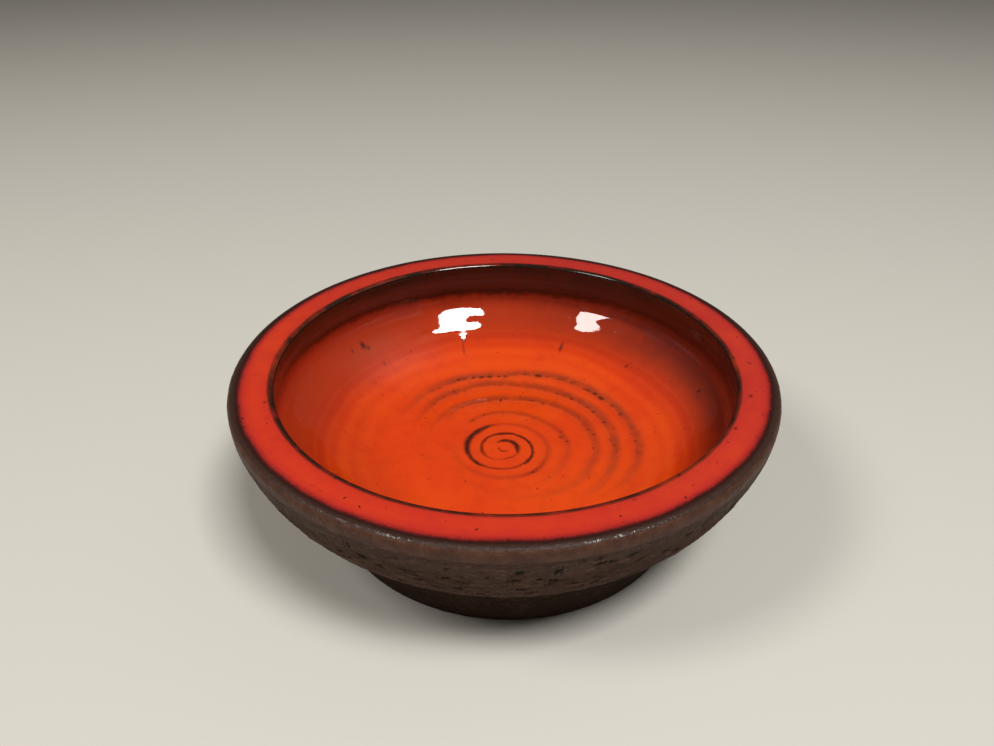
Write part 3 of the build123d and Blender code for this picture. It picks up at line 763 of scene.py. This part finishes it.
class Mat:
    """A small helper that builds a node tree."""

    def __init__(self, name):
        self.m = bpy.data.materials.new(name)
        self.m.use_nodes = True
        self.t = self.m.node_tree
        self.t.nodes.clear()
        self.out = self.t.nodes.new("ShaderNodeOutputMaterial")
        self.bsdf = self.t.nodes.new("ShaderNodeBsdfPrincipled")
        self.t.links.new(self.bsdf.outputs[0], self.out.inputs[0])
        self.coord = self.t.nodes.new("ShaderNodeTexCoord")

    def link(self, a, b):
        self.t.links.new(a, b)

    def set(self, **values):
        for key, v in values.items():
            self.bsdf.inputs[key.replace("_", " ")].default_value = v

    def attr(self, name):
        n = self.t.nodes.new("ShaderNodeAttribute")
        n.attribute_name = name
        return n.outputs["Fac"]

    def mapping(self, scale):
        n = self.t.nodes.new("ShaderNodeMapping")
        n.inputs["Scale"].default_value = scale
        self.link(self.coord.outputs["Object"], n.inputs["Vector"])
        return n.outputs[0]

    def noise(self, scale, detail=3.0, rough=0.5, vector=None, distortion=0.0):
        n = self.t.nodes.new("ShaderNodeTexNoise")
        n.inputs["Scale"].default_value = scale
        n.inputs["Detail"].default_value = detail
        n.inputs["Roughness"].default_value = rough
        n.inputs["Distortion"].default_value = distortion
        self.link(vector or self.coord.outputs["Object"], n.inputs["Vector"])
        return n.outputs["Fac"]

    def voronoi(self, scale, vector=None, feature="F1", randomness=1.0):
        n = self.t.nodes.new("ShaderNodeTexVoronoi")
        n.feature = feature
        n.inputs["Scale"].default_value = scale
        n.inputs["Randomness"].default_value = randomness
        self.link(vector or self.coord.outputs["Object"], n.inputs["Vector"])
        return n.outputs

    def ramp(self, fac, stops, low=0.0, high=1.0):
        """Colours at places between low and high."""
        if (low, high) != (0.0, 1.0):
            r = self.t.nodes.new("ShaderNodeMapRange")
            r.inputs["From Min"].default_value = low
            r.inputs["From Max"].default_value = high
            self.link(fac, r.inputs["Value"])
            fac = r.outputs[0]
        n = self.t.nodes.new("ShaderNodeValToRGB")
        e = n.color_ramp.elements
        while len(e) > 1:
            e.remove(e[-1])
        stops = [((p - low) / (high - low), c) for p, c in stops]
        e[0].position, e[0].color = stops[0]
        for p, c in stops[1:]:
            x = e.new(p)
            x.color = c
        self.link(fac, n.inputs[0])
        return n.outputs[0]

    def grey(self, fac, low, high, a=0.0, b=1.0):
        n = self.t.nodes.new("ShaderNodeMapRange")
        n.interpolation_type = "SMOOTHSTEP"
        for key, v in (("From Min", low), ("From Max", high), ("To Min", a), ("To Max", b)):
            n.inputs[key].default_value = v
        self.link(fac, n.inputs["Value"])
        return n.outputs[0]

    def math(self, op, a, b=None, c=None, clamp=False):
        n = self.t.nodes.new("ShaderNodeMath")
        n.operation = op
        n.use_clamp = clamp
        for i, v in enumerate((a, b, c)):
            if v is None:
                continue
            if isinstance(v, (int, float)):
                n.inputs[i].default_value = v
            else:
                self.link(v, n.inputs[i])
        return n.outputs[0]

    def mix(self, fac, a, b, mode="MIX"):
        n = self.t.nodes.new("ShaderNodeMix")
        n.data_type = "RGBA"
        n.blend_type = mode
        n.clamp_factor = True
        if isinstance(fac, (int, float)):
            n.inputs[0].default_value = fac
        else:
            self.link(fac, n.inputs[0])
        for i, v in ((6, a), (7, b)):
            if isinstance(v, tuple):
                n.inputs[i].default_value = v
            else:
                self.link(v, n.inputs[i])
        return n.outputs[2]

    def bump(self, height, strength, distance, normal=None):
        n = self.t.nodes.new("ShaderNodeBump")
        n.inputs["Strength"].default_value = strength
        n.inputs["Distance"].default_value = distance
        self.link(height, n.inputs["Height"])
        if normal is not None:
            self.link(normal, n.inputs["Normal"])
        return n.outputs[0]

    def flecks(self, cells, dots, size, share):
        """Sparse dots: one in some of the cells of a Voronoi pattern."""
        near = self.voronoi(cells)["Distance"]
        gate = self.grey(self.noise(dots, 1, 0.5), share, share + 0.05)
        return self.math("MULTIPLY", self.grey(near, size * 1.6, size * 0.7), gate)


MARK = srgb(42, 16, 10)


def edge_share(m):
    """1 on the dark side of the edge between the glazes, 0 on the orange side. Both coats share it."""
    fine = m.math("MULTIPLY", m.math("SUBTRACT", m.noise(520, 3, 0.6), 0.5), 0.8)
    broad = m.math("MULTIPLY", m.math("SUBTRACT", m.noise(110, 2, 0.5), 0.5), 2.0)
    e = m.math("ADD", m.attr("edge"), m.math("ADD", fine, broad))
    stops = [(-1.4, 1.0), (-0.2, 0.97), (0.6, 0.80), (1.4, 0.50), (2.6, 0.24), (4.2, 0.08), (6.0, 0.0)]
    return m.ramp(e, [(p, (v, v, v, 1)) for p, v in stops], -1.6, 6.4)


def wall_colour(m, drop):
    """The colour of the thick glaze by its drop below the rim: maroon-orange on the steep wall, brighter towards the floor."""
    wander = m.math("ADD", drop, m.math("MULTIPLY", m.math("SUBTRACT", m.noise(55, 3, 0.55), 0.5), 1.8))
    return m.ramp(
        wander,
        [
            (12.0, srgb(164, 50, 27)), (16.5, srgb(172, 53, 27)), (19.0, srgb(184, 57, 26)), (24.6, srgb(194, 60, 24)), (26.3, srgb(198, 59, 23)),
            (27.9, srgb(200, 57, 22)), (29.5, srgb(210, 58, 20)), (31.5, srgb(222, 62, 19)), (33.0, srgb(233, 68, 18)), (38.5, srgb(231, 67, 17)),
        ],
        12.0, 39.0,
    )


LIP_DARKEST = srgb(44, 18, 13)

# well glaze
m = Mat("orange_well_glaze")
drop, mark, thin, side = m.attr("drop"), m.attr("mark"), m.attr("thin"), m.attr("side")
cloud = m.noise(28, 4, 0.55)
mottle = m.noise(170, 4, 0.6)
col = wall_colour(m, drop)
col = m.mix(m.math("MULTIPLY", m.grey(cloud, 0.35, 0.65), m.grey(drop, 28.5, 33.5, 0.05, 0.62)), col, srgb(240, 82, 16))
turn_phase = m.math("MULTIPLY_ADD", m.noise(16, 2, 0.5), 9.0, m.math("MULTIPLY", drop, 2.3))
turns = m.math("SINE", turn_phase)
zone = m.math("MULTIPLY", m.grey(drop, 24.5, 28.5), m.grey(drop, 38.2, 36.6))
col = m.mix(m.math("MULTIPLY", m.math("MULTIPLY", m.grey(turns, 0.1, 0.95), zone), 0.13), col, srgb(190, 50, 18))
col = m.mix(m.math("MULTIPLY", m.math("MULTIPLY", m.grey(turns, -0.2, -0.95), zone), 0.11), col, srgb(238, 96, 34))
# partly thinner glaze, partly painted shade: towards the right the wall under the lip is darkened to maroon, deepening
# the rim's shadow
col = m.mix(m.math("MULTIPLY", side, m.grey(m.attr("edge"), 18.5, 9.0, 0.0, 0.66)), col, srgb(84, 34, 28))
col = m.mix(m.math("MULTIPLY", m.grey(mottle, 0.48, 0.72), 0.22), col, srgb(186, 46, 16))
# partly thinner glaze, partly painted shade: the right-hand round under the lip is darkened nearly to black
col = m.mix(m.math("MULTIPLY", side, m.grey(m.attr("edge"), 9.0, 3.0, 0.0, 0.55)), col, srgb(38, 25, 21))
band = m.math("MULTIPLY", thin, m.grey(m.noise(240, 3, 0.6), 0.30, 0.66, 0.58, 1.0))
col = m.mix(m.math("MULTIPLY", band, 0.90, clamp=True), col, srgb(140, 56, 32))
col = m.mix(m.math("MULTIPLY", m.flecks(330, 900, 0.11, 0.60), 0.8), col, srgb(70, 22, 12))
col = m.mix(edge_share(m), col, LIP_DARKEST)
col = m.mix(mark, col, MARK)
m.link(col, m.bsdf.inputs["Base Color"])
rough = m.math("MAXIMUM", m.grey(mark, 0.2, 0.9, 0.035, 0.28), m.grey(m.attr("dull"), 0.0, 1.0, 0.035, 0.32))
m.link(m.math("MAXIMUM", rough, m.grey(drop, 33.6, 36.6, 0.035, 0.15)), m.bsdf.inputs["Roughness"])
m.set(IOR=1.65)
m.link(m.bump(m.noise(700, 2, 0.5), 0.025, 0.0003), m.bsdf.inputs["Normal"])
well_mat = m.m

# lip glaze
m = Mat("thin_dark_lip_glaze")
depth = m.attr("depth")
cloud = m.noise(60, 4, 0.6, m.mapping((1, 1, 0.35)))
drips = m.noise(150, 3, 0.55, m.mapping((1, 1, 0.22)))
wander = m.math("ADD", depth, m.math("MULTIPLY", m.math("SUBTRACT", drips, 0.5), 2.4))
# dark thin glaze by depth below the rim; the lighter band in the middle of the lip is painted light and reflection, and
# the darker band towards its foot is painted shade of the undercut
col = m.ramp(
    wander,
    [
        (0.0, srgb(36, 24, 17)), (3.0, srgb(38, 23, 17)), (4.4, srgb(58, 33, 27)), (6.8, srgb(80, 42, 36)),
        (9.5, srgb(74, 39, 33)), (11.6, srgb(54, 28, 22)), (13.0, srgb(44, 22, 16)),
    ],
    0.0, 14.0,
)
col = m.mix(m.math("MULTIPLY", m.grey(cloud, 0.45, 0.72), 0.35), col, srgb(100, 34, 26))
# partly thinner glaze, partly painted shade: towards the right the lip is darkened, and so is its orange part below the
# edge between the glazes
col = m.mix(m.math("MULTIPLY", m.attr("side"), m.grey(depth, 5.0, 12.0, 1.0, 0.75)), col, srgb(33, 29, 24))
dark = edge_share(m)
wall_col = m.mix(m.math("MULTIPLY", m.attr("side"), 0.80), wall_colour(m, depth), srgb(44, 27, 22))
# painted shade: just above the edge between the glazes, in the undercut at the foot of the lip, the colour goes towards
# the darkest lip colour
e2 = m.grey(m.attr("edge"), -2.6, -0.2)
col = m.mix(m.math("MULTIPLY", e2, 0.75), col, LIP_DARKEST)
col = m.mix(m.math("SUBTRACT", 1.0, dark), col, wall_col)
m.link(col, m.bsdf.inputs["Base Color"])
m.set(IOR=1.5, Roughness=0.09)
m.link(m.bump(m.noise(500, 2, 0.5), 0.06, 0.0003), m.bsdf.inputs["Normal"])
lip_mat = m.m

# rim glaze: millimetres from the start of the flat
m = Mat("red_orange_rim_glaze")
across = m.attr("across")
fuzz = m.math("MULTIPLY", m.math("SUBTRACT", m.noise(900, 3, 0.65), 0.5), 0.9)
scallop = m.math("MULTIPLY", m.math("SUBTRACT", m.noise(190, 2, 0.5), 0.5), 0.7)
roam = m.math("MULTIPLY", m.math("SUBTRACT", m.noise(40, 1, 0.5), 0.5), 1.2)
x = m.math("ADD", across, m.math("ADD", fuzz, m.math("ADD", scallop, roam)))
inner = m.math("ADD", across, m.math("MULTIPLY", m.math("ADD", fuzz, scallop), 0.45))
inner = m.math("ADD", inner, m.math("MULTIPLY_ADD", m.attr("side"), 0.60, -0.50))
col = m.ramp(
    x,
    [
        (0.0, srgb(198, 50, 34)), (2.0, srgb(214, 56, 33)), (5.0, srgb(217, 59, 32)), (7.2, srgb(206, 52, 35)),
        (8.4, srgb(168, 40, 34)), (9.1, srgb(92, 27, 25)), (9.7, srgb(50, 23, 19)), (10.6, srgb(60, 38, 31)), (12.0, srgb(64, 43, 35)),
    ],
    -2.0, 13.0,
)
col = m.mix(m.math("MULTIPLY", m.attr("crimson"), m.grey(x, 8.6, 7.0, 0.0, 0.60)), col, srgb(180, 46, 52))
edge_col = m.ramp(inner, [(-1.2, srgb(38, 24, 17)), (-0.6, srgb(58, 27, 18)), (-0.15, srgb(104, 36, 24)), (0.45, srgb(180, 48, 33))], -2.0, 2.0)
col = m.mix(m.grey(inner, 0.5, -0.1), col, edge_col)
cloud = m.noise(45, 4, 0.55)
keep = m.grey(x, 8.0, 6.5)
col = m.mix(m.math("MULTIPLY", m.math("MULTIPLY", m.grey(m.noise(130, 4, 0.6), 0.46, 0.70), 0.30), keep), col, srgb(190, 42, 38))
col = m.mix(m.math("MULTIPLY", m.math("MULTIPLY", m.grey(cloud, 0.45, 0.70), 0.25), keep), col, srgb(232, 76, 30))
col = m.mix(m.math("MULTIPLY", m.flecks(240, 700, 0.13, 0.60), 0.85), col, srgb(58, 20, 14))
col = m.mix(m.math("MULTIPLY", m.attr("mark"), 0.9), col, MARK)
m.link(col, m.bsdf.inputs["Base Color"])
outside = m.grey(x, 8.8, 10.2)
glint = m.math("MULTIPLY", m.math("MULTIPLY", m.grey(m.noise(560, 2, 0.5), 0.47, 0.55), outside), m.math("MULTIPLY", m.grey(x, 12.2, 11.2), m.attr("gleam")))
m.link(m.math("ADD", m.grey(x, 8.8, 10.2, 0.10, 0.46), m.math("MULTIPLY", glint, -0.30)), m.bsdf.inputs["Roughness"])
m.link(m.math("ADD", m.grey(x, 8.8, 10.2, 0.5, 0.22), m.math("MULTIPLY", glint, 0.40)), m.bsdf.inputs["Specular IOR Level"])
m.set(IOR=1.5)
b = m.bump(m.noise(600, 2, 0.5), 0.07, 0.0003)
m.link(m.bump(m.math("MULTIPLY", m.noise(700, 3, 0.6), outside), 0.5, 0.0007, b), m.bsdf.inputs["Normal"])
rim_mat = m.m

# shoulder glaze
m = Mat("thin_shoulder_glaze")
fall = m.attr("fall")
cloud = m.noise(200, 4, 0.6)
fine = m.noise(1400, 3, 0.6)
col = m.mix(m.grey(cloud, 0.3, 0.7), srgb(70, 43, 32), srgb(91, 59, 44))
col = m.mix(m.math("MULTIPLY", m.grey(fine, 0.5, 0.75), 0.35), col, srgb(36, 23, 18))
col = m.mix(m.grey(fall, 0.86, 1.0), col, srgb(54, 35, 28))
m.link(col, m.bsdf.inputs["Base Color"])
glint = m.math("MULTIPLY", m.math("MULTIPLY", m.grey(m.noise(620, 2, 0.5), 0.55, 0.62), m.grey(fall, 0.70, 0.30)), m.attr("gleam"))
m.link(m.grey(glint, 0.1, 0.9, 0.54, 0.32), m.bsdf.inputs["Roughness"])
m.link(m.grey(glint, 0.1, 0.9, 0.20, 0.26), m.bsdf.inputs["Specular IOR Level"])
m.set(IOR=1.5)
b = m.bump(fine, 0.50, 0.0004)
m.link(m.bump(m.noise(520, 2, 0.5), 0.60, 0.0009, b), m.bsdf.inputs["Normal"])
shoulder_mat = m.m

# stoneware
m = Mat("dark_chamotte_stoneware")
mark, below = m.attr("mark"), m.attr("below")
grain = m.noise(1500, 4, 0.65)
patch = m.noise(70, 4, 0.55, m.mapping((1, 1, 2.0)))
streak = m.noise(260, 4, 0.6, m.mapping((1, 1, 2.4)))
pore = m.noise(620, 3, 0.6, m.mapping((1, 1, 1.5)))
col = m.mix(m.grey(patch, 0.3, 0.7), srgb(62, 43, 34), srgb(79, 56, 44))
col = m.mix(m.grey(below, 7.5, 5.0, 0.0, 0.8), col, srgb(68, 45, 37))
col = m.mix(m.math("MULTIPLY", m.grey(streak, 0.50, 0.72), 0.50), col, srgb(112, 84, 69))
col = m.mix(m.math("MULTIPLY", m.grey(grain, 0.52, 0.72), 0.50), col, srgb(38, 26, 20))
col = m.mix(m.math("MULTIPLY", m.flecks(900, 1300, 0.17, 0.58), 0.6), col, srgb(140, 110, 91))
col = m.mix(m.math("MULTIPLY", m.grey(pore, 0.60, 0.70), 0.75), col, srgb(26, 17, 13))
# painted shade: the clay below the turned edge, on the underside and foot, is darkened
col = m.mix(m.grey(below, 27.9, 29.4, 0.0, 0.45), col, srgb(36, 28, 23))
# painted shade: the hollows of the drag marks are darkened
col = m.mix(m.math("MULTIPLY", mark, 0.94), col, srgb(17, 11, 8))
m.link(col, m.bsdf.inputs["Base Color"])
m.link(m.grey(below, 4.6, 14.0, 0.55, 0.85), m.bsdf.inputs["Roughness"])
m.set(IOR=1.4)
m.set(Specular_IOR_Level=0.12)
b = m.bump(grain, 0.55, 0.0003)
b = m.bump(pore, 0.60, 0.0008, b)
m.link(m.bump(streak, 0.40, 0.0006, b), m.bsdf.inputs["Normal"])
clay_mat = m.m

for obj, mat, node, slot in (
    (well, well_mat, "well_glaze", "well_glaze"),
    (lip, lip_mat, "lip_glaze", "thin_glaze"),
    (rim, rim_mat, "rim_glaze", "rim_glaze"),
    (shoulder, shoulder_mat, "shoulder_glaze", "thin_glaze"),
    (clay, clay_mat, "stoneware_body", "stoneware"),
):
    obj.data.materials.append(mat)
    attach(obj, "root")
    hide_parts(node)

# ---------------------------------------------------------------------------
# Floor, light and camera
# ---------------------------------------------------------------------------
mesh = bpy.data.meshes.new("studio_floor")
s = 8.0
mesh.from_pydata([(-s, -s, 0), (s, -s, 0), (s, s, 0), (-s, s, 0)], [], [(0, 1, 2, 3)])
floor = bpy.data.objects.new("studio_floor", mesh)
scene.collection.objects.link(floor)
m = Mat("plain_pale_floor")
m.set(Base_Color=(0.755, 0.725, 0.660, 1.0), Roughness=0.6)
floor.data.materials.append(m.m)

world = bpy.data.worlds.new("studio")
scene.world = world
world.use_nodes = True
t = world.node_tree
t.nodes.clear()
out = t.nodes.new("ShaderNodeOutputWorld")
bg = t.nodes.new("ShaderNodeBackground")
bg.inputs["Strength"].default_value = 1.0
coord = t.nodes.new("ShaderNodeTexCoord")


def lobe(direction, tight, radiance):
    """A soft bright region of the room around one direction."""
    dot = t.nodes.new("ShaderNodeVectorMath")
    dot.operation = "DOT_PRODUCT"
    dot.inputs[1].default_value = Vector(direction).normalized()
    t.links.new(coord.outputs["Generated"], dot.inputs[0])
    last = dot.outputs["Value"]
    for operation, values in (("MULTIPLY_ADD", (tight, -tight)), ("EXPONENT", ()), ("MULTIPLY", (radiance,))):
        n = t.nodes.new("ShaderNodeMath")
        n.operation = operation
        t.links.new(last, n.inputs[0])
        for k, v in enumerate(values):
            n.inputs[k + 1].default_value = v
        last = n.outputs[0]
    return last


total = lobe((0, 0, 1), 5.0, 0.05)
for part in (lobe((-0.60, 0.50, 0.60), 6.0, 0.05), lobe((0.75, 0.55, 0.35), 3.0, 0.05), lobe((0.51, 0.19, 0.84), 30.0, 0.45), lobe((0, 0, 1), 0.0, 0.022)):
    n = t.nodes.new("ShaderNodeMath")
    n.operation = "ADD"
    t.links.new(total, n.inputs[0])
    t.links.new(part, n.inputs[1])
    total = n.outputs[0]
warm = t.nodes.new("ShaderNodeVectorMath")
warm.operation = "SCALE"
warm.inputs[0].default_value = (1.08, 1.0, 0.86)
t.links.new(total, warm.inputs["Scale"])
t.links.new(warm.outputs[0], bg.inputs["Color"])
t.links.new(bg.outputs[0], out.inputs[0])


def softbox(name, azimuth, elevation, distance, wide, high, roll, radiance, colour=(1, 1, 1)):
    """A soft rectangular light that faces the bowl from a direction, sized in degrees as the bowl sees it."""
    a, e_ = math.radians(azimuth), math.radians(elevation)
    d = Vector((math.cos(e_) * math.cos(a), math.cos(e_) * math.sin(a), math.sin(e_)))
    light = bpy.data.lights.new(name, "AREA")
    light.shape = "RECTANGLE"
    light.size = 2 * distance * math.tan(math.radians(wide / 2))
    light.size_y = 2 * distance * math.tan(math.radians(high / 2))
    light.energy = radiance * math.pi * light.size * light.size_y
    light.color = colour
    obj = bpy.data.objects.new(name, light)
    obj.location = Vector((0, 0, 0.03)) + d * distance
    obj.rotation_euler = (d.to_track_quat("Z", "Y") @ Quaternion((0, 0, 1), math.radians(roll))).to_euler()
    scene.collection.objects.link(obj)
    return obj


softbox("key_softbox", -57, 62.5, 1.5, 18, 14, -8, 28.4, (1.0, 1.0, 0.98))
softbox("fill_softbox", -155, 51, 1.5, 14, 18, 0, 13.6, (1.0, 0.965, 0.92))

# the photograph's view
cam_data = bpy.data.cameras.new("photo_view")
cam_data.sensor_fit = "HORIZONTAL"
cam_data.sensor_width = 36.0
cam_data.lens = 36.0 * 776.0 / 994.0
cam_data.clip_start, cam_data.clip_end = 0.01, 50
cam = bpy.data.objects.new("photo_view", cam_data)
RI = 77.45
cam.location = (-0.03306 * RI * MM, -2.89897 * RI * MM, (1.75054 * RI + H) * MM)
cam.rotation_euler = (math.radians(90 - 32.2595), math.radians(0.0507), 0)
scene.collection.objects.link(cam)
scene.camera = cam

scene.view_settings.view_transform = "Standard"
scene.view_settings.look = "None"

bpy.context.view_layer.update()
